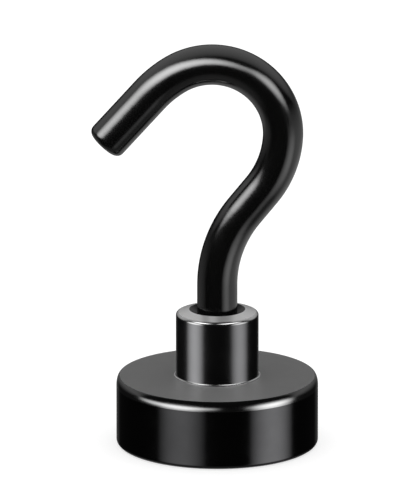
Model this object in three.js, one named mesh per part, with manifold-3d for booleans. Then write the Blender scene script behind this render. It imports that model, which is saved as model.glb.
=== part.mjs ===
// A magnetic hook: a round pot magnet with a threaded boss and a bent steel hook screwed into it.
//
// The frame is in millimetres with +Z up. The origin is the centre of the round face that grips
// steel, so the pot stands on the plane z = 0. The hook lies in the XZ plane and its tip is at -X.

import * as THREE from 'three';
import { mergeVertices } from 'three/addons/utils/BufferGeometryUtils.js';
import Module from 'manifold-3d';

const wasm = await Module();
wasm.setup();

// ---- Driving dimensions ----

// The pot is a turned steel cup, open downwards.
const POT_RADIUS = 10;
const POT_HEIGHT = 6.9;
const POT_WALL = 1.5;
const POT_FLOOR = 2.1;
const POT_TOP_ROUND = 0.35;
const POT_TOP_ROUND_HEIGHT = 1;
const POT_RIM_ROUND = 0.45;
const POT_RIM_BEVEL = 0.2;

// The boss is a threaded bush whose spigot is swaged into the pot's floor.
const BOSS_RADIUS = 4.1;
const BOSS_HEIGHT = 6.4;
const BOSS_BEVEL = 0.3;
const BOSS_CROWN = 0.4;
const BOSS_FOOT_FLARE = 0.18;
const BOSS_BORE_FLOOR = 1.1;
const MOUTH_RADIUS = 2.75;
const SPIGOT_RADIUS = 2.6;
const SWAGE_RADIUS = 3.2;
const SWAGE_DEPTH = 0.6;
const SEAT_GAP = 0.02;

// The magnet is a disc glued in the pot, with its face level with the pot's rim.
const MAGNET_RADIUS = 8;
const MAGNET_HEIGHT = 4.6;
const MAGNET_BEVEL = 0.25;
const RESIN_RECESS = 0.1;

// M4 coarse thread, as rings one pitch apart.
const THREAD_PITCH = 0.7;
const THREAD_TURNS = 6;
const THREAD_MAJOR_RADIUS = 1.95;
const THREAD_MINOR_RADIUS = 1.57;
const THREAD_CREST_HALF = 0.05;
const THREAD_ROOT_HALF = 0.08;
const THREAD_RADIAL_GAP = 0.09;
const THREAD_AXIAL_GAP = 0.052;
const THREAD_RUNOUT = 0.3;
const THREAD_END_BEVEL = 0.3;

// The hook is a round rod. Its centreline leaves the boss along +Z, swings out to +X and then
// turns back over the axis to the tip. Turns are in degrees, and each bend runs on straight for
// the length in then.
const ROD_RADIUS = 2;
const HOOK_SEAT_Z = 13.1;
const HOOK_STRAIGHT = 3.1;
const HOOK_BENDS = [
  { radius: 12, turn: -39, then: 2.7 },
  { radius: 9.5, turn: 35, then: 0 },
  { radius: 7, turn: 126, then: 0 },
  { radius: 11.5, turn: 16, then: 6.8 },
];
const TIP_ROUND = 0.7;

// Facets
const POT_SIDES = 48;
const BOSS_SIDES = 32;
const ROD_SIDES = 20;
const ROD_STEP = 0.8;
const ROUND_STEPS = 4;

// ---- Shape helpers ----

// The points of a round in a profile, between two angles in degrees about the centre (x, z). It is
// an arc, or a quarter of an ellipse if its height isn't its radius.
function roundedCorner(x, z, radius, from, to, height = radius) {
  const points = [];
  for (let i = 0; i <= ROUND_STEPS; i += 1) {
    const angle = THREE.MathUtils.degToRad(from + ((to - from) * i) / ROUND_STEPS);
    points.push([x + radius * Math.cos(angle), z + height * Math.sin(angle)]);
  }
  return points;
}

// A solid of revolution about Z. The [radius, z] profile goes up its outer side.
function revolve(profile, sides) {
  const points = profile.map(([radius, z]) => new THREE.Vector2(radius, z));
  return new THREE.LatheGeometry(points, sides).rotateX(Math.PI / 2);
}

function toSolid(geometry) {
  const bare = geometry.clone();
  bare.deleteAttribute('normal');
  bare.deleteAttribute('uv');
  const merged = mergeVertices(bare);
  const mesh = new wasm.Mesh({
    numProp: 3,
    vertProperties: new Float32Array(merged.attributes.position.array),
    triVerts: new Uint32Array(merged.index.array),
  });
  return new wasm.Manifold(mesh);
}

function toGeometry(solid) {
  const mesh = solid.getMesh();
  const geometry = new THREE.BufferGeometry();
  geometry.setAttribute('position', new THREE.BufferAttribute(mesh.vertProperties, 3));
  geometry.setIndex(new THREE.BufferAttribute(mesh.triVerts, 1));
  geometry.computeVertexNormals();
  return geometry;
}

// The rings of a thread from z = low upwards. With no gaps it is the screw's surface, and with
// them it is the surface of the bore around the screw.
function threadProfile(low, radialGap, axialGap) {
  const crest = THREAD_MAJOR_RADIUS + radialGap;
  const root = THREAD_MINOR_RADIUS + radialGap;
  const rootHalf = THREAD_ROOT_HALF - axialGap;
  const crestHalf = THREAD_CREST_HALF + axialGap;
  const points = [];
  for (let turn = 0; turn < THREAD_TURNS; turn += 1) {
    const middle = low + (turn + 0.5) * THREAD_PITCH;
    points.push([root, middle - THREAD_PITCH / 2 + rootHalf]);
    points.push([crest, middle - crestHalf]);
    points.push([crest, middle + crestHalf]);
    points.push([root, middle + THREAD_PITCH / 2 - rootHalf]);
  }
  return points;
}

// ---- The pot ----

function potShell() {
  const cavityRadius = POT_RADIUS - POT_WALL;
  const floorZ = POT_HEIGHT - POT_FLOOR;
  const holeRadius = SPIGOT_RADIUS + SEAT_GAP;
  const swageRadius = SWAGE_RADIUS + SEAT_GAP;
  const topRound = [POT_RADIUS - POT_TOP_ROUND, POT_HEIGHT - POT_TOP_ROUND_HEIGHT];
  const rimRound = [POT_RADIUS - POT_RIM_ROUND, POT_RIM_ROUND];
  const profile = [
    [cavityRadius + POT_RIM_BEVEL, 0],
    ...roundedCorner(...rimRound, POT_RIM_ROUND, -90, 0),
    ...roundedCorner(...topRound, POT_TOP_ROUND, 0, 90, POT_TOP_ROUND_HEIGHT),
    [holeRadius, POT_HEIGHT],
    [holeRadius, floorZ + SWAGE_DEPTH],
    [swageRadius, floorZ],
    [cavityRadius, floorZ],
    [cavityRadius, POT_RIM_BEVEL],
    [cavityRadius + POT_RIM_BEVEL, 0],
  ];
  return revolve(profile, POT_SIDES);
}

// The bush, measured from the face that sits on the pot's top. Its mouth is countersunk down to
// the first ring of its thread, and its rings line up with the screw's.
function threadedBoss() {
  const threadTop = HOOK_SEAT_Z - POT_HEIGHT - THREAD_RUNOUT;
  const threadLow = threadTop - THREAD_TURNS * THREAD_PITCH;
  const bore = threadProfile(threadLow, THREAD_RADIAL_GAP, THREAD_AXIAL_GAP);
  const profile = [
    [0, -POT_FLOOR],
    [SWAGE_RADIUS, -POT_FLOOR],
    [SPIGOT_RADIUS, SWAGE_DEPTH - POT_FLOOR],
    [SPIGOT_RADIUS, SEAT_GAP],
    [BOSS_RADIUS + BOSS_FOOT_FLARE, SEAT_GAP],
    [BOSS_RADIUS, SEAT_GAP + BOSS_FOOT_FLARE],
    [BOSS_RADIUS, BOSS_HEIGHT - BOSS_BEVEL],
    [BOSS_RADIUS - BOSS_BEVEL, BOSS_HEIGHT],
    [MOUTH_RADIUS, BOSS_HEIGHT + BOSS_CROWN],
    ...bore.reverse(),
    [THREAD_MINOR_RADIUS + THREAD_RADIAL_GAP, BOSS_BORE_FLOOR],
    [0, BOSS_BORE_FLOOR],
  ];
  return revolve(profile, BOSS_SIDES);
}

// ---- The magnet and what holds it ----

function magnetDisc() {
  const profile = [
    [0, 0],
    [MAGNET_RADIUS - MAGNET_BEVEL, 0],
    [MAGNET_RADIUS, MAGNET_BEVEL],
    [MAGNET_RADIUS, MAGNET_HEIGHT - MAGNET_BEVEL],
    [MAGNET_RADIUS - MAGNET_BEVEL, MAGNET_HEIGHT],
    [0, MAGNET_HEIGHT],
  ];
  return revolve(profile, POT_SIDES);
}

function resinRing() {
  const inner = MAGNET_RADIUS + SEAT_GAP;
  const outer = POT_RADIUS - POT_WALL - SEAT_GAP;
  const profile = [
    [inner, RESIN_RECESS],
    [outer, RESIN_RECESS],
    [outer, MAGNET_HEIGHT],
    [inner, MAGNET_HEIGHT],
    [inner, RESIN_RECESS],
  ];
  return revolve(profile, POT_SIDES);
}

function glueFilm() {
  const thickness = POT_HEIGHT - POT_FLOOR - MAGNET_HEIGHT - 2 * SEAT_GAP;
  const profile = [
    [0, 0],
    [MAGNET_RADIUS - MAGNET_BEVEL, 0],
    [MAGNET_RADIUS - MAGNET_BEVEL, thickness],
    [0, thickness],
  ];
  return revolve(profile, POT_SIDES);
}

// ---- The hook ----

// A circular arc in the XZ plane. It starts at a point, along a heading, and turns by an angle.
class FlatArc extends THREE.Curve {
  constructor(start, heading, radius, turn) {
    super();
    const side = Math.sign(turn) * (Math.PI / 2);
    this.radius = radius;
    this.turn = turn;
    this.from = heading - side;
    this.centre = start.clone().add(flatVector(heading + side, radius));
  }

  getPoint(t, target = new THREE.Vector3()) {
    return target.copy(this.centre).add(flatVector(this.from + this.turn * t, this.radius));
  }
}

function flatVector(angle, length) {
  return new THREE.Vector3(length * Math.cos(angle), 0, length * Math.sin(angle));
}

// The centreline from the bottom of the rod to the tip, where it ends, and its heading there.
function hookCentreline() {
  const path = new THREE.CurvePath();
  let heading = Math.PI / 2;
  let point = new THREE.Vector3();
  const goStraight = (length) => {
    const end = point.clone().add(flatVector(heading, length));
    path.add(new THREE.LineCurve3(point, end));
    point = end;
  };
  goStraight(HOOK_STRAIGHT);
  for (const bend of HOOK_BENDS) {
    const turn = THREE.MathUtils.degToRad(bend.turn);
    const arc = new FlatArc(point, heading, bend.radius, turn);
    path.add(arc);
    point = arc.getPoint(1);
    heading += turn;
    if (bend.then > 0) goStraight(bend.then);
  }
  return { path, end: point, heading };
}

// The ring that is cut away to round the edge of the rod's end, for an end face at z = 0.
function endRoundingTool() {
  const clear = 1;
  const outside = ROD_RADIUS + clear;
  const flatRadius = ROD_RADIUS - TIP_ROUND;
  const profile = [
    [flatRadius, clear],
    ...roundedCorner(flatRadius, -TIP_ROUND, TIP_ROUND, 90, 0),
    [outside, -TIP_ROUND],
    [outside, clear],
    [flatRadius, clear],
  ];
  return revolve(profile, ROD_SIDES);
}

function hookRod() {
  const { path, end, heading } = hookCentreline();
  const section = new THREE.Shape().absarc(0, 0, ROD_RADIUS, 0, 2 * Math.PI);
  const rod = new THREE.ExtrudeGeometry(section, {
    extrudePath: path,
    curveSegments: ROD_SIDES / 2,
    steps: Math.round(path.getLength() / ROD_STEP),
  });
  const rounding = endRoundingTool();
  rounding.rotateY(Math.PI / 2 - heading);
  rounding.translate(end.x, end.y, end.z);
  return toSolid(rod).subtract(toSolid(rounding));
}

// The screw below the rod, with a smooth neck that runs up inside the rod.
function hookScrew() {
  const threadLow = -THREAD_RUNOUT - THREAD_TURNS * THREAD_PITCH;
  const endZ = threadLow - THREAD_END_BEVEL;
  const neckTop = 1;
  const profile = [
    [0, endZ],
    [THREAD_MINOR_RADIUS - THREAD_END_BEVEL, endZ],
    ...threadProfile(threadLow, 0, 0),
    [THREAD_MINOR_RADIUS, neckTop],
    [0, neckTop],
  ];
  return toSolid(revolve(profile, ROD_SIDES));
}

function hook() {
  return toGeometry(hookRod().add(hookScrew()));
}

// ---- Materials ----

function material(color, roughness, metalness) {
  return new THREE.MeshStandardMaterial({ color, roughness, metalness });
}

function blackNickel() {
  return material(0x1b1b1d, 0.22, 0.95);
}

function brightNickel() {
  return material(0xb4b3ae, 0.3, 1);
}

function darkResin() {
  return material(0x2b2b2d, 0.55, 0);
}

function blackCoating() {
  return material(0x0d0d0e, 0.32, 0.1);
}

// ---- The assembly ----

function part(name, geometry, finish, z = 0) {
  const mesh = new THREE.Mesh(geometry, finish);
  mesh.name = name;
  mesh.position.z = z;
  return mesh;
}

function magnetBase() {
  const base = new THREE.Group();
  base.add(
    part('pot_shell', potShell(), blackNickel()),
    part('threaded_boss', threadedBoss(), blackNickel(), POT_HEIGHT),
    part('magnet_disc', magnetDisc(), brightNickel()),
    part('resin_ring', resinRing(), darkResin()),
    part('glue_film', glueFilm(), darkResin(), MAGNET_HEIGHT + SEAT_GAP),
  );
  return base;
}

const group = new THREE.Group();
group.add(magnetBase(), part('hook', hook(), blackCoating(), HOOK_SEAT_Z));

export default group;
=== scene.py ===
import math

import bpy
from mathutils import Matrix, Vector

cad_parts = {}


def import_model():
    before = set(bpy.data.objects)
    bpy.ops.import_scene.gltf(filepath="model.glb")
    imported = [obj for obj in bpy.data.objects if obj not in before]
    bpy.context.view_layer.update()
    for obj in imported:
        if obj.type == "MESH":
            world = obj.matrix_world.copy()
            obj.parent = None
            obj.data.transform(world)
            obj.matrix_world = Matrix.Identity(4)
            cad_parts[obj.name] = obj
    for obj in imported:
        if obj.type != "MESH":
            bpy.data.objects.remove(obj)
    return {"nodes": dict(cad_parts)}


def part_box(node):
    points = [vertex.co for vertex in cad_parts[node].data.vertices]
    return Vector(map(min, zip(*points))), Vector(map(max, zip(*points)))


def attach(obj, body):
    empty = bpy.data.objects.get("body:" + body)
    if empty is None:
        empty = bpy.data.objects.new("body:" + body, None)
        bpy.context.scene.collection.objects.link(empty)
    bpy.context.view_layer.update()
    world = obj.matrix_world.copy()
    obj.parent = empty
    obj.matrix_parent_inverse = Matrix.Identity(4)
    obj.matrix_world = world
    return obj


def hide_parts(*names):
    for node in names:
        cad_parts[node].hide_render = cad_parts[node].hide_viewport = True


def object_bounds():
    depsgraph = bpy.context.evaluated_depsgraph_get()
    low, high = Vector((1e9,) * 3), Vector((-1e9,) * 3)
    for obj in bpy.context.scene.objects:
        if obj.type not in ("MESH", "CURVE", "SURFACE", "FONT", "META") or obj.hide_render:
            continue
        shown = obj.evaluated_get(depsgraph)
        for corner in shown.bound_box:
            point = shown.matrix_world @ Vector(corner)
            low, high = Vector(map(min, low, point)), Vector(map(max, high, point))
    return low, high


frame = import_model()

# A small black magnetic hook. Lengths in this file are metres, and profiles are (radius, z) points.
# Angles round and above the object are in degrees. Azimuth 0 is the camera's side and 90 is at +X.

MM = 0.001
cad_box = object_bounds()

# ---- Sizes from the frame ----

POT_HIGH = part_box("pot_shell")[1]
BOSS_LOW, BOSS_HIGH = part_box("threaded_boss")
MAGNET_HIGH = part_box("magnet_disc")[1]
RING_LOW, RING_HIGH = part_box("resin_ring")
HOOK_LOW, HOOK_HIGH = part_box("hook")

SEAT_GAP = 0.02 * MM  # between pieces that touch on the real object
ROD_INSET = 0.005 * MM  # keeps the round rod inside the frame's, which has flat sides

POT_RADIUS = POT_HIGH.x
POT_TOP = POT_HIGH.z
POT_FLOOR = BOSS_LOW.z
CAVITY_RADIUS = RING_HIGH.x + SEAT_GAP
ROD_RADIUS = HOOK_HIGH.y - ROD_INSET

# ---- Sizes too fine for the frame, repeated from the part. Its bevels are rounds here. ----

POT_TOP_ROUND = 0.35 * MM  # a quarter of an ellipse, taller than it is wide
POT_TOP_ROUND_HEIGHT = 1.0 * MM
POT_RIM_ROUND = 0.45 * MM
BOSS_RADIUS = 4.1 * MM
BOSS_CROWN = 0.4 * MM
BOSS_BEVEL = 0.3 * MM
BOSS_BORE_FLOOR = 8.0 * MM
MOUTH_RADIUS = 2.75 * MM
SPIGOT_RADIUS = 2.6 * MM
SWAGE_RADIUS = 3.2 * MM
SWAGE_DEPTH = 0.6 * MM
MAGNET_BEVEL = 0.25 * MM

THREAD_PITCH = 0.7 * MM
THREAD_TURNS = 6
THREAD_MAJOR_RADIUS = 1.95 * MM
THREAD_MINOR_RADIUS = 1.57 * MM
THREAD_CREST_HALF = 0.05 * MM
THREAD_ROOT_HALF = 0.08 * MM
THREAD_RADIAL_GAP = 0.09 * MM
THREAD_AXIAL_GAP = 0.052 * MM
THREAD_END_BEVEL = 0.3 * MM
THREAD_RUNOUT = 0.3 * MM
THREAD_LOW = HOOK_LOW.z + THREAD_END_BEVEL

HOOK_STRAIGHT = 3.1 * MM
HOOK_BENDS = [
    # radius, turn in degrees (positive is anticlockwise), straight run after it
    (12.0 * MM, -39, 2.7 * MM),
    (9.5 * MM, 35, 0),
    (7.0 * MM, 126, 0),
    (11.5 * MM, 16, 6.8 * MM),
]
TIP_ROUND = 0.7 * MM

# ---- Fine shapes that only this model has ----

CAVITY_RIM_ROUND = 0.18 * MM
CAVITY_FLOOR_ROUND = 0.3 * MM
FOOT_EDGE = 0.02 * MM
FOOT_FILLET = 0.14 * MM
MOUTH_ROUND = 0.08 * MM
ROD_SHOULDER_ROUND = 0.05 * MM
RESIN_SAG = 0.12 * MM

# ---- Where the black nickel changes ----

# The faced ends of the pot and the boss, duller and with a lighter colour that is a painted
# sheen: the least height, and the inner and outer radius
POT_END = (POT_TOP - 0.18 * MM, BOSS_HIGH.x - 0.1 * MM, POT_RADIUS - 0.9 * POT_TOP_ROUND)
BOSS_END = (BOSS_HIGH.z - BOSS_CROWN - 0.1 * MM, MOUTH_RADIUS, BOSS_RADIUS - 0.8 * BOSS_BEVEL)

# The heights below and above which the plating's colour is lighter and its roughness lower: a
# painted highlight along the edges. The pot's lower one is below its rim, so only its upper edge
# has it.
POT_HIGHLIGHT_HEIGHTS = (-MM, POT_TOP - 1.02 * POT_TOP_ROUND_HEIGHT)
BOSS_HIGHLIGHT_HEIGHTS = (POT_TOP + 0.18 * MM, BOSS_HIGH.z - BOSS_CROWN - 0.9 * BOSS_BEVEL)

# ---- The studio's sizes ----

VIEW_ELEVATION = 16
VIEW_DISTANCE = 1.2
VIEW_MARGIN = 1.08
AIM_DROP = 0.6 * MM  # how far below the part's middle the camera aims
NEAR_CLIP = 0.01

LIGHT_DISTANCE = 0.5
FLOOR_HALF = 4.0
FLOOR_GAP = 0.01 * MM

# What reflections see of the room: its brightness from straight down (0) to straight up (1)
ROOM_LEVELS = [(0.0, 0.12), (0.1, 0.1), (0.2, 0.015), (0.34, 0.01), (0.6, 0.005), (1.0, 0.01)]
WHITE_STRENGTH = 1.1

# ---- Mesh fineness ----

POT_SIDES = 256
BOSS_SIDES = 192
ROD_SIDES = 96
ROD_STEP = 0.25 * MM
POT_TOP_STEPS = 16
RESIN_STEPS = 12
CORNER_STEP = math.radians(7.5)
SUPPORT = 0.03 * MM
SHARP_ANGLE = math.radians(35)
COINCIDENT = 1e-9


# ---- Profiles ----


def rounded(corners, closed=False):
    """The outline through (radius, z, corner_radius) corners, each rounded by an arc. A closed
    outline comes back to its first point."""
    points = []
    for i, (x, z, radius) in enumerate(corners):
        here = Vector((x, z))
        if radius == 0:
            points.append(here)
            continue
        before = Vector(corners[i - 1][:2])
        after = Vector(corners[(i + 1) % len(corners)][:2])
        to_before = (before - here).normalized()
        to_after = (after - here).normalized()
        half = to_before.angle(to_after) / 2
        centre = here + (to_before + to_after).normalized() * radius / math.sin(half)
        start = here + to_before * radius / math.tan(half) - centre
        turn = (math.pi - 2 * half) * math.copysign(1, to_after.cross(to_before))
        first = math.atan2(start.y, start.x)
        steps = max(2, math.ceil(abs(turn) / CORNER_STEP))
        for step in range(steps + 1):
            angle = first + turn * step / steps
            points.append(centre + Vector((math.cos(angle), math.sin(angle))) * radius)
    return points + points[:1] if closed else points


def with_supports(points):
    """The same outline with extra points near the ends of its long straight runs."""
    kept = [points[0]]
    for a, b in zip(points, points[1:]):
        run = (b - a).length
        if run > 4 * SUPPORT:
            along = (b - a) / run
            kept += [a + along * SUPPORT, b - along * SUPPORT]
        kept.append(b)
    return kept


def thread_outline(low, radial_gap=0.0, axial_gap=0.0):
    """The rings of the thread from z = low upwards: the screw's, or with gaps the bore's."""
    crest = THREAD_MAJOR_RADIUS + radial_gap
    root = THREAD_MINOR_RADIUS + radial_gap
    root_half = THREAD_ROOT_HALF - axial_gap
    crest_half = THREAD_CREST_HALF + axial_gap
    corners = []
    for turn in range(THREAD_TURNS):
        bottom = low + turn * THREAD_PITCH
        middle = bottom + THREAD_PITCH / 2
        top = bottom + THREAD_PITCH
        corners += [
            (root, bottom + root_half, 0),
            (crest, middle - crest_half, 0),
            (crest, middle + crest_half, 0),
            (root, top - root_half, 0),
        ]
    return corners


# ---- Meshes ----


def straight_up(distance):
    """A centreline along +Z: the point and the heading at a distance, as an angle from +X."""
    return Vector((0, 0, distance)), math.pi / 2


def sweep(name, stations, sides, centreline=straight_up):
    """A closed surface of rings. Each station is (radius, distance along the centreline), and a
    station with no radius is a single point. A loop of stations makes a ring-shaped solid."""
    closed = (Vector(stations[0]) - Vector(stations[-1])).length < COINCIDENT
    stations = stations[:-1] if closed else stations
    vertices, rings = [], []
    for radius, distance in stations:
        point, heading = centreline(distance)
        across = Vector((math.sin(heading), 0, -math.cos(heading)))
        if radius < COINCIDENT:
            rings.append([len(vertices)])
            vertices.append(point)
            continue
        rings.append(range(len(vertices), len(vertices) + sides))
        for side in range(sides):
            angle = 2 * math.pi * side / sides
            offset = across * math.cos(angle) + Vector((0, math.sin(angle), 0))
            vertices.append(point + offset * radius)
    faces = []
    pairs = list(zip(rings, rings[1:])) + ([(rings[-1], rings[0])] if closed else [])
    for lower, upper in pairs:
        for side in range(sides):
            after = (side + 1) % sides
            if len(lower) == 1:
                faces.append((lower[0], upper[after], upper[side]))
            elif len(upper) == 1:
                faces.append((lower[side], lower[after], upper[0]))
            else:
                faces.append((lower[side], lower[after], upper[after], upper[side]))
    mesh = bpy.data.meshes.new(name)
    mesh.from_pydata(vertices, [], faces)
    mesh.shade_smooth()
    mesh.set_sharp_from_angle(angle=SHARP_ANGLE)
    piece = bpy.data.objects.new(name, mesh)
    bpy.context.scene.collection.objects.link(piece)
    return piece


def turned(name, corners, sides):
    """A turned piece from its outline's corners, which go up its outer side. An outline that
    doesn't start on the axis is closed."""
    return sweep(name, with_supports(rounded(corners, corners[0][0] > 0)), sides)


# ---- The pieces ----


def pot():
    """A steel cup, open downwards, with a hole for the boss's spigot."""
    hole = SPIGOT_RADIUS + SEAT_GAP
    swage = SWAGE_RADIUS + SEAT_GAP
    top_round = []
    for step in range(POT_TOP_STEPS + 1):
        angle = math.pi / 2 * step / POT_TOP_STEPS
        x = POT_RADIUS - POT_TOP_ROUND * (1 - math.cos(angle))
        z = POT_TOP - POT_TOP_ROUND_HEIGHT * (1 - math.sin(angle))
        top_round.append((x, z, 0))
    corners = [
        (CAVITY_RADIUS, 0, CAVITY_RIM_ROUND),
        (POT_RADIUS, 0, POT_RIM_ROUND),
        *top_round,
        (hole, POT_TOP, 0),
        (hole, POT_FLOOR + SWAGE_DEPTH, 0),
        (swage, POT_FLOOR, 0),
        (CAVITY_RADIUS, POT_FLOOR, CAVITY_FLOOR_ROUND),
    ]
    return turned("pot", corners, POT_SIDES)


def boss():
    """A threaded bush with a countersunk mouth, and a spigot swaged over inside the pot."""
    crown = BOSS_HIGH.z
    shoulder = crown - BOSS_CROWN
    foot = POT_TOP + SEAT_GAP
    flare = BOSS_HIGH.x
    bore = thread_outline(THREAD_LOW, THREAD_RADIAL_GAP, THREAD_AXIAL_GAP)
    corners = [
        (0, POT_FLOOR, 0),
        (SWAGE_RADIUS, POT_FLOOR, 0),
        (SPIGOT_RADIUS, POT_FLOOR + SWAGE_DEPTH, 0),
        (SPIGOT_RADIUS, foot, 0),
        (flare, foot, 0),
        (flare, foot + FOOT_EDGE, 0),
        (BOSS_RADIUS, foot + FOOT_EDGE, FOOT_FILLET),
        (BOSS_RADIUS, shoulder, BOSS_BEVEL),
        (MOUTH_RADIUS, crown, MOUTH_ROUND),
        *reversed(bore),
        (THREAD_MINOR_RADIUS + THREAD_RADIAL_GAP, BOSS_BORE_FLOOR, 0),
        (0, BOSS_BORE_FLOOR, 0),
    ]
    return turned("boss", corners, BOSS_SIDES)


def magnet():
    """A disc with its lower face level with the pot's rim."""
    radius, top = MAGNET_HIGH.x, MAGNET_HIGH.z
    corners = [
        (0, 0, 0),
        (radius, 0, MAGNET_BEVEL),
        (radius, top, MAGNET_BEVEL),
        (0, top, 0),
    ]
    return turned("magnet", corners, POT_SIDES)


def resin():
    """The cast ring, with its open face drawn in between the magnet and the pot."""
    inner = MAGNET_HIGH.x + SEAT_GAP
    outer = RING_HIGH.x
    open_face = []
    for step in range(RESIN_STEPS + 1):
        share = step / RESIN_STEPS
        x = inner + (outer - inner) * share
        z = RING_LOW.z + RESIN_SAG * math.sin(math.pi * share)
        open_face.append((x, z, 0))
    corners = [*open_face, (outer, RING_HIGH.z, 0), (inner, RING_HIGH.z, 0)]
    return turned("resin", corners, POT_SIDES)


def hook_centreline():
    """The hook's centreline as a function of the distance from the screw's lower end."""
    runs = []
    point, heading = Vector((0, 0, HOOK_LOW.z)), math.pi / 2
    screw = THREAD_END_BEVEL + THREAD_TURNS * THREAD_PITCH + THREAD_RUNOUT

    def along(run, distance):
        start, first, length, turn = run
        if turn == 0:
            step = Vector((math.cos(first), 0, math.sin(first))) * distance
            return start + step, first
        radius = length / turn
        now = first + turn * distance / length
        step = Vector((math.sin(now) - math.sin(first), 0, math.cos(first) - math.cos(now)))
        return start + step * radius, now

    def add(length, turn):
        nonlocal point, heading
        runs.append((point, heading, length, turn))
        point, heading = along(runs[-1], length)

    add(screw + HOOK_STRAIGHT, 0)
    for radius, degrees, then in HOOK_BENDS:
        turn = math.radians(degrees)
        add(radius * abs(turn), turn)
        if then:
            add(then, 0)

    def place(distance):
        for run in runs[:-1]:
            if distance <= run[2]:
                return along(run, distance)
            distance -= run[2]
        return along(runs[-1], distance)

    return place, sum(run[2] for run in runs)


def hook():
    """A bent rod with a screw on its lower end."""
    centreline, length = hook_centreline()
    screw_end = HOOK_LOW.z
    shoulder = THREAD_LOW + THREAD_TURNS * THREAD_PITCH + THREAD_RUNOUT
    tip = screw_end + length
    outline = rounded([
        (0, screw_end, 0),
        (THREAD_MINOR_RADIUS - THREAD_END_BEVEL, screw_end, 0),
        *thread_outline(THREAD_LOW),
        (THREAD_MINOR_RADIUS, shoulder, 0),
        (ROD_RADIUS, shoulder, ROD_SHOULDER_ROUND),
        (ROD_RADIUS, tip, TIP_ROUND),
        (0, tip, 0),
    ])
    stations = []
    for a, b in zip(outline, outline[1:]):
        steps = max(1, math.ceil((b - a).length / ROD_STEP)) if a.x == b.x else 1
        stations += [a.lerp(b, step / steps) for step in range(steps)]
    stations.append(outline[-1])
    stations = [Vector((s.x, s.y - screw_end)) for s in stations]
    return sweep("screw_hook", stations, ROD_SIDES, centreline)


# ---- Materials ----


def grey(level):
    return (level, level, level)


class Tree:
    """The node tree of a material, a light or a world."""

    def __init__(self, owner):
        owner.use_nodes = True
        self.nodes = owner.node_tree.nodes
        self.links = owner.node_tree.links

    def node(self, kind, inputs=None, **settings):
        made = self.nodes.new(kind)
        for key, value in settings.items():
            setattr(made, key, value)  # first, because some settings change the sockets
        for key, value in (inputs or {}).items():
            self.send(value, made.inputs[key])
        return made

    def send(self, value, socket):
        """Links the socket to the value if that is a socket too, and otherwise sets it."""
        if isinstance(value, bpy.types.NodeSocket):
            self.links.new(value, socket)
        else:
            socket.default_value = value

    def calculate(self, operation, a, b=0.0):
        return self.node("ShaderNodeMath", {0: a, 1: b}, operation=operation).outputs[0]


class Finish(Tree):
    """A new material's tree, with short calls for the nodes that the finishes share."""

    def __init__(self, name):
        self.material = bpy.data.materials.new(name)
        super().__init__(self.material)
        self.shader = self.nodes["Principled BSDF"]

    def place(self):
        """The surface point in millimetres."""
        point = self.node("ShaderNodeTexCoord").outputs["Object"]
        inputs = {0: point, "Scale": 1 / MM}
        return self.node("ShaderNodeVectorMath", inputs, operation="SCALE").outputs[0]

    def noise(self, scale, detail=4.0, roughness=0.55, vector=None):
        inputs = {
            "Vector": vector or self.place(),
            "Scale": scale,
            "Detail": detail,
            "Roughness": roughness,
        }
        return self.node("ShaderNodeTexNoise", inputs).outputs["Fac"]

    def spread(self, value, low, high, from_low=0.3, from_high=0.7):
        """A value carried to the range from low to high. Noise is mostly from 0.3 to 0.7."""
        inputs = {0: value, 1: from_low, 2: from_high, 3: low, 4: high}
        return self.node("ShaderNodeMapRange", inputs).outputs[0]

    def radius_and_height(self):
        """The distance from the Z axis, and the height, in millimetres."""
        x, y, z = self.node("ShaderNodeSeparateXYZ", {0: self.place()}).outputs
        x_squared = self.calculate("MULTIPLY", x, x)
        y_squared = self.calculate("MULTIPLY", y, y)
        return self.calculate("SQRT", self.calculate("ADD", x_squared, y_squared)), z

    def turning_marks(self, per_mm):
        """Fine rings round the Z axis, as a cutting tool leaves them."""
        radius, z = self.radius_and_height()
        vector = self.node("ShaderNodeCombineXYZ", {"X": radius, "Y": z}).outputs[0]
        return self.noise(per_mm, detail=3.0, roughness=0.6, vector=vector)

    def between(self, value, low, high):
        """A number between two numbers, each of which may be a socket."""
        return self.node("ShaderNodeMix", {0: value, 2: low, 3: high}).outputs[0]

    def bump(self, height, distance, normal=None):
        inputs = {"Height": height, "Distance": distance, "Strength": 1.0}
        if normal:
            inputs["Normal"] = normal
        return self.node("ShaderNodeBump", inputs).outputs[0]

    def blend(self, value, first, second):
        """A colour between two colours, each a socket or three numbers."""
        inputs = {0: value}
        for key, colour in ((6, first), (7, second)):
            is_socket = isinstance(colour, bpy.types.NodeSocket)
            inputs[key] = colour if is_socket else (*colour, 1)
        return self.node("ShaderNodeMix", inputs, data_type="RGBA").outputs[2]

    def feed(self, **sockets):
        """Sets or links the shader's sockets, named with _ for a space."""
        for key, value in sockets.items():
            self.send(value, self.shader.inputs[key.replace("_", " ")])
        return self.material


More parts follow.
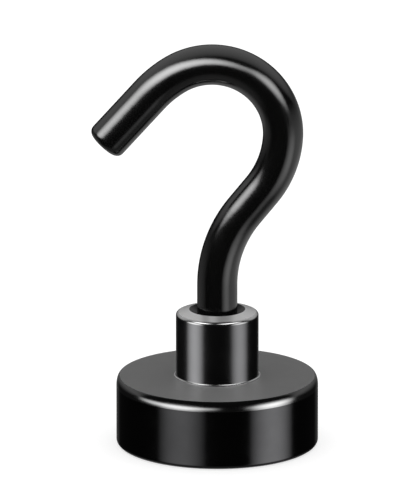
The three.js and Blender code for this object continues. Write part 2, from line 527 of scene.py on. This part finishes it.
def black_nickel(name, tint, roughness, highlight_heights, painted_highlight_tint, end, painted_end_sheen_tint, end_roughness):
    """Dark bright-finish plating over a turned surface. Below and above the heights given for the
    edges its colour is lighter and its roughness lower: a painted highlight. end is the least
    height and the radii between which a faced end shows, duller and with a lighter colour that is
    a painted sheen, and nearer to the axis than that the colour is darkened: a painted shade."""
    soft = 0.05  # millimetres over which one zone turns into the next
    # painted shade: the colour inside the bore
    painted_bore_shade = grey(0.02)
    edge_highlight_roughness = 0.16
    end_metallic = 0.8
    tree = Finish(name)
    smudges = tree.noise(0.35, detail=5.0)
    marks = tree.turning_marks(9.0)
    fine = tree.noise(14.0, detail=2.0)
    normal = tree.bump(marks, 0.0012 * MM)
    normal = tree.bump(fine, 0.0006 * MM, normal)

    # The faced end: duller and a little less metallic, and its lighter colour is a painted sheen.
    low, inner, outer = (size / MM for size in end)
    radius, z = tree.radius_and_height()
    above = tree.spread(z, 0, 1, low, low + soft)
    outside = tree.spread(radius, 0, 1, inner, inner + soft)
    inside = tree.spread(radius, 1, 0, outer - soft, outer)
    faced_with_sheen = tree.calculate("MULTIPLY", tree.calculate("MULTIPLY", above, outside), inside)

    # Painted highlight: below the lower height and above the upper one the colour is lighter.
    bottom, top = (size / MM for size in highlight_heights)
    under = tree.spread(z, 1, 0, bottom - soft, bottom)
    painted_edge_highlight = tree.calculate("ADD", under, tree.spread(z, 0, 1, top, top + soft))

    wall = tree.blend(tree.spread(smudges, 0, 1), [0.85 * c for c in tint], tint)
    wall = tree.blend(painted_edge_highlight, wall, painted_highlight_tint)
    # Painted shade: nearer to the axis than the inner radius, in the bore, the colour is darkened.
    wall = tree.blend(outside, painted_bore_shade, wall)
    wall_gloss = tree.spread(smudges, 0.9 * roughness, 1.15 * roughness)
    wall_gloss = tree.between(painted_edge_highlight, wall_gloss, edge_highlight_roughness)
    end_gloss = tree.spread(smudges, 0.9 * end_roughness, 1.1 * end_roughness)
    return tree.feed(
        Base_Color=tree.blend(faced_with_sheen, wall, painted_end_sheen_tint),
        Metallic=tree.between(faced_with_sheen, 1.0, end_metallic),
        Roughness=tree.between(faced_with_sheen, wall_gloss, end_gloss),
        Normal=normal,
    )


def black_coating():
    """A thin smooth paint film on the bent rod."""
    tree = Finish("black_coating")
    flow = tree.noise(1.1, detail=2.0)
    skin = tree.noise(5.0, detail=3.0)
    normal = tree.bump(flow, 0.006 * MM)
    normal = tree.bump(skin, 0.0015 * MM, normal)
    return tree.feed(
        Base_Color=tree.blend(tree.spread(skin, 0, 1), grey(0.0005), grey(0.001)),
        Roughness=tree.spread(tree.noise(0.5), 0.14, 0.17),
        IOR=1.9,
        Normal=normal,
    )


def bright_nickel():
    """Plating on the magnet, with the rubs that steel leaves on a gripping face."""
    tree = Finish("bright_nickel")
    inputs = {"Vector": tree.place(), "Rotation": (0, 0, 0.4), "Scale": (0.5, 9.0, 1.0)}
    stretched = tree.node("ShaderNodeMapping", inputs).outputs[0]
    rubs = tree.noise(1.4, detail=6.0, roughness=0.7, vector=stretched)
    clouds = tree.noise(0.3, detail=3.0)
    return tree.feed(
        Base_Color=tree.blend(tree.spread(clouds, 0, 1), (0.55, 0.54, 0.52), (0.72, 0.71, 0.69)),
        Metallic=1.0,
        Roughness=tree.spread(rubs, 0.2, 0.42),
        Normal=tree.bump(rubs, 0.0015 * MM),
    )


def dark_resin():
    """Cast epoxy with a fine grain."""
    tree = Finish("dark_resin")
    grain = tree.noise(6.0, detail=5.0)
    return tree.feed(
        Base_Color=tree.blend(tree.spread(grain, 0, 1), grey(0.018), (0.045, 0.045, 0.048)),
        Roughness=tree.spread(tree.noise(1.5), 0.35, 0.6),
        Normal=tree.bump(grain, 0.01 * MM),
    )


def paint(piece, material):
    piece.data.materials.clear()
    piece.data.materials.append(material)


def dress(piece, material, body, slot, *nodes):
    """Gives a new piece its finish and its body, and hides the CAD nodes that it stands for."""
    paint(piece, material)
    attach(piece, body)
    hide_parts(*nodes)
    return piece


# ---- The studio ----


def floor_material():
    """A pale floor that glows a little, so that shadows on it stay faint. It is clear from
    below."""
    tree = Finish("pale_floor")
    tree.feed(Base_Color=(0.5, 0.5, 0.5, 1), Roughness=0.9, Specular_IOR_Level=0.0)
    tree.feed(Emission_Color=(1, 1, 1, 1), Emission_Strength=0.6)
    clear = tree.node("ShaderNodeBsdfTransparent").outputs[0]
    behind = tree.node("ShaderNodeNewGeometry").outputs["Backfacing"]
    mix = tree.node("ShaderNodeMixShader", {0: behind, 1: tree.shader.outputs[0], 2: clear})
    tree.send(mix.outputs[0], tree.nodes["Material Output"].inputs["Surface"])
    return tree.material


def floor():
    half = FLOOR_HALF
    z = cad_box[0].z - FLOOR_GAP
    corners = [(-half, -half, z), (half, -half, z), (half, half, z), (-half, half, z)]
    mesh = bpy.data.meshes.new("floor")
    mesh.from_pydata(corners, [], [(0, 1, 2, 3)])
    mesh.materials.append(floor_material())
    plane = bpy.data.objects.new("floor", mesh)
    plane.visible_glossy = False
    bpy.context.scene.collection.objects.link(plane)


def world():
    """White to the camera and to matt surfaces. In reflections it is a dark room with a paler
    ground."""
    made = bpy.data.worlds.new("studio")
    made.cycles.sampling_method = "NONE"  # so that each ray's own kind picks what it sees
    bpy.context.scene.world = made
    tree = Tree(made)
    tree.nodes.clear()
    direction = tree.node("ShaderNodeTexCoord").outputs["Generated"]
    height = tree.node("ShaderNodeSeparateXYZ", {0: direction}).outputs["Z"]
    level = tree.node("ShaderNodeMapRange", {"Value": height, "From Min": -1.0}).outputs[0]
    ramp = tree.node("ShaderNodeValToRGB", {"Fac": level})
    elements = ramp.color_ramp.elements
    for at, _ in ROOM_LEVELS[1:-1]:
        elements.new(at)
    for element, (at, brightness) in zip(elements, ROOM_LEVELS):
        element.position = at
        element.color = (*grey(brightness), 1)
    room = tree.node("ShaderNodeBackground", {"Color": ramp.outputs["Color"]})
    white = tree.node("ShaderNodeBackground", {"Color": (1, 1, 1, 1), "Strength": WHITE_STRENGTH})
    glossy = tree.node("ShaderNodeLightPath").outputs["Is Glossy Ray"]
    mix = tree.node("ShaderNodeMixShader", {0: glossy, 1: white.outputs[0], 2: room.outputs[0]})
    tree.node("ShaderNodeOutputWorld", {"Surface": mix.outputs[0]})


def around(centre, azimuth, elevation, distance):
    """The point at a distance from centre, in the direction of an azimuth and an elevation."""
    a, e = math.radians(azimuth), math.radians(elevation)
    out = Vector((math.sin(a) * math.cos(e), -math.cos(a) * math.cos(e), math.sin(e)))
    return centre + out * distance


def face(thing, target):
    """Turns a light or the camera towards a point."""
    thing.rotation_euler = (thing.location - target).to_track_quat("Z", "Y").to_euler()


def collect(name, pieces):
    made = bpy.data.collections.new(name)
    for piece in pieces:
        made.objects.link(piece)
    return made


def fade(tree, along):
    """A brightness that rises from nothing at each end of a light to full in its middle."""
    return tree.calculate("SINE", tree.calculate("MULTIPLY", along, math.pi))


def soft_light(name, direction, spread, radiance, pieces, blockers=None):
    """A soft box that faces the object and fades towards its edges. direction is its azimuth and
    elevation, spread is how wide and tall it looks from the object, and radiance is its middle's.
    It is flagged off from all but the pieces, and only the blockers shade it, if they are given."""
    width, height = (2 * LIGHT_DISTANCE * math.tan(math.radians(angle) / 2) for angle in spread)
    data = bpy.data.lights.new(name, "AREA")
    data.shape = "RECTANGLE"
    data.size, data.size_y = width, height
    data.energy = radiance * math.pi * width * height
    tree = Tree(data)
    point = tree.node("ShaderNodeNewGeometry").outputs["Parametric"]
    across, up, _ = tree.node("ShaderNodeSeparateXYZ", {0: point}).outputs
    strength = tree.calculate("MULTIPLY", fade(tree, across), fade(tree, up))
    tree.send(strength, tree.nodes["Emission"].inputs["Strength"])
    lamp = bpy.data.objects.new(name, data)
    target = Vector((0, 0, POT_TOP))
    lamp.location = around(target, *direction, LIGHT_DISTANCE)
    face(lamp, target)
    lamp.visible_camera = False
    bpy.context.scene.collection.objects.link(lamp)
    lamp.light_linking.receiver_collection = collect(name + "_lit", pieces)
    if blockers:
        lamp.light_linking.blocker_collection = collect(name + "_shaded_by", blockers)


def camera():
    """The view: square to the hook's plane, and above the pot's top face by the photo's angle."""
    low, high = cad_box
    middle = (low + high) / 2
    data = bpy.data.cameras.new("camera")
    view = bpy.data.objects.new("camera", data)
    foot = Vector((middle.x, 0, POT_TOP))
    view.location = around(foot, 0, VIEW_ELEVATION, VIEW_DISTANCE)
    aim = Vector((middle.x, 0, middle.z - AIM_DROP))
    face(view, aim)
    pot_depth = 2 * POT_RADIUS * math.sin(math.radians(VIEW_ELEVATION))
    tall = (high.z - low.z) * VIEW_MARGIN + pot_depth
    data.lens = data.sensor_width * (view.location - aim).length / tall
    data.clip_start = NEAR_CLIP
    bpy.context.scene.collection.objects.link(view)
    bpy.context.scene.camera = view


def lights(pot_piece, boss_piece, inner_pieces, hook_piece):
    """Separate soft boxes for the pot, the boss and the hook, which the photo lights in different
    ways."""
    pot_only, boss_only, hook_only = [pot_piece], [boss_piece], [hook_piece]

    # The two bands on the pot's wall, and the bright line along its upper edge
    soft_light("pot_left", (-42, -16), (56, 60), 0.76, pot_only)
    soft_light("pot_right", (66, -16), (56, 60), 1.5, pot_only)
    soft_light("pot_edge_left", (-48, -4), (104, 19), 1.9, pot_only)
    soft_light("pot_edge_right", (64, -4), (68, 19), 1.5, pot_only)

    # The pot's top, which the boss and the hook don't shade, and the outlines of its wall
    soft_light("pot_backdrop", (180, 34), (170, 90), 0.155, pot_only, [pot_piece])
    soft_light("pot_rim", (180, -16), (60, 50), 0.11, pot_only)

    # The two bands on the boss's wall, its bevel, its crown and its outlines
    shade = [boss_piece, hook_piece]
    soft_light("boss_left", (-66, -10), (56, 80), 1.8, boss_only, shade)
    soft_light("boss_right", (66, -10), (56, 80), 1.3, boss_only, shade)
    soft_light("boss_edge_left", (-59, 52), (50, 30), 4.2, boss_only, shade)
    soft_light("boss_edge_right", (46, 52), (62, 30), 3.5, boss_only, shade)
    soft_light("boss_backdrop", (180, 40), (150, 80), 0.52, boss_only, shade)
    soft_light("boss_rim", (180, -16), (60, 50), 0.18, boss_only, shade)

    # The streak along the hook, the softer bands beside it, and the hook's outlines
    soft_light("hook_key", (-32, 36), (96, 42), 6.8, hook_only)
    soft_light("hook_right_key", (40, 22), (44, 36), 4.0, hook_only)
    soft_light("hook_right", (108, -20), (134, 66), 0.42, hook_only)
    soft_light("hook_right_low", (50, -25), (50, 40), 0.85, hook_only)
    soft_light("hook_left", (-110, -16), (80, 60), 0.15, hook_only)
    soft_light("hook_backdrop", (180, 65), (150, 110), 0.55, hook_only)
    soft_light("hook_low", (180, -55), (120, 80), 0.3, hook_only)

    # The gripping face, for views from below
    soft_light("under_box", (180, -45), (120, 90), 0.7, inner_pieces)
    soft_light("pot_under", (180, -60), (100, 60), 0.3, pot_only)

    # The photo's boss and hook don't mirror the pot
    pot_piece.visible_glossy = False


def build():
    """The visual model: five new pieces, and the glue film carried over with a new finish."""
    pot_nickel = black_nickel(
        "black_nickel",
        tint=(0.1, 0.1, 0.103),
        roughness=0.13,
        highlight_heights=POT_HIGHLIGHT_HEIGHTS,
        # a painted highlight along the upper edge
        painted_highlight_tint=grey(0.4),
        end=POT_END,
        # the faced top's lighter colour is a painted sheen
        painted_end_sheen_tint=grey(0.42),
        end_roughness=0.38,
    )
    boss_nickel = black_nickel(
        "black_nickel_boss",
        tint=(0.2, 0.2, 0.205),
        roughness=0.2,
        highlight_heights=BOSS_HIGHLIGHT_HEIGHTS,
        # a painted highlight along the bevel and the foot
        painted_highlight_tint=grey(0.6),
        end=BOSS_END,
        # the crown's lighter colour is a painted sheen
        painted_end_sheen_tint=grey(0.6),
        end_roughness=0.3,
    )
    resin_finish = dark_resin()
    pot_piece = dress(pot(), pot_nickel, "base", "black_nickel", "pot_shell")
    boss_piece = dress(boss(), boss_nickel, "base", "black_nickel", "threaded_boss")
    magnet_piece = dress(magnet(), bright_nickel(), "base", "bright_nickel", "magnet_disc")
    resin_piece = dress(resin(), resin_finish, "base", "dark_resin", "resin_ring")
    hook_piece = dress(hook(), black_coating(), "screw_hook", "black_coating", "hook")
    paint(frame["nodes"]["glue_film"], resin_finish)
    return pot_piece, boss_piece, [magnet_piece, resin_piece], hook_piece


lights(*build())
floor()
world()
camera()
bpy.context.scene.view_settings.view_transform = "Standard"
